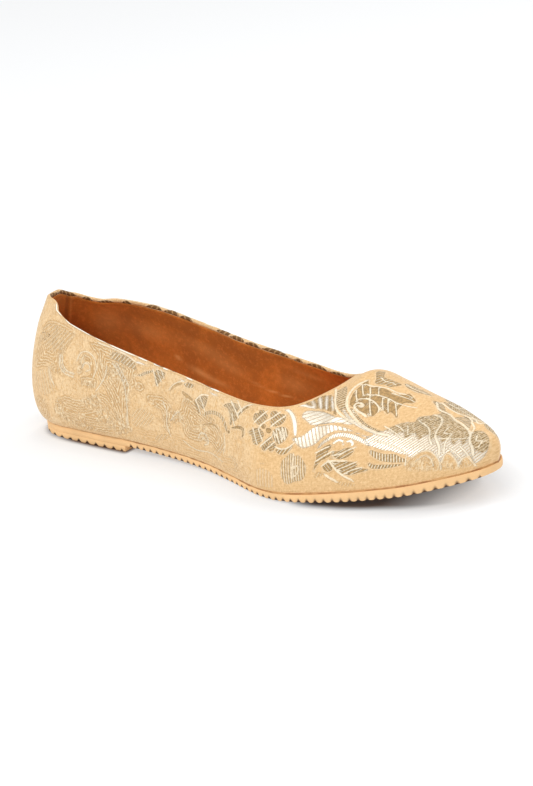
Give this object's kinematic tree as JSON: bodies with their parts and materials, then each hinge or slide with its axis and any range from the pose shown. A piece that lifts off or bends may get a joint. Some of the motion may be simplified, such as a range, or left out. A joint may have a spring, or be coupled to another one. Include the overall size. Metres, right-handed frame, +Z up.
{
  "type": "ballet flat shoe",
  "caption": "Low brocade ballet flat, right shoe, with a pointed oval toe, low wavy collar, suede lining, thin ribbed crepe sole and a low heel lift.",
  "frame": {"origin": "on the floor under the centre of the heel seat, on the heel lift's flat land", "axes": "+X along the shoe from heel to toe, +Y to the inner (big toe) side, +Z up"},
  "size_m": [0.2548, 0.083, 0.0648],
  "materials": {
    "brocade": "pale gold brocade with a metallic thread",
    "suede": "rust brown napped suede",
    "crepe": "light tan matte crepe rubber"
  },
  "bodies": {
    "root": {"upper": "brocade", "insole": "suede", "outsole": "crepe", "heel_lift": "crepe"}
  },
  "joints": []
}
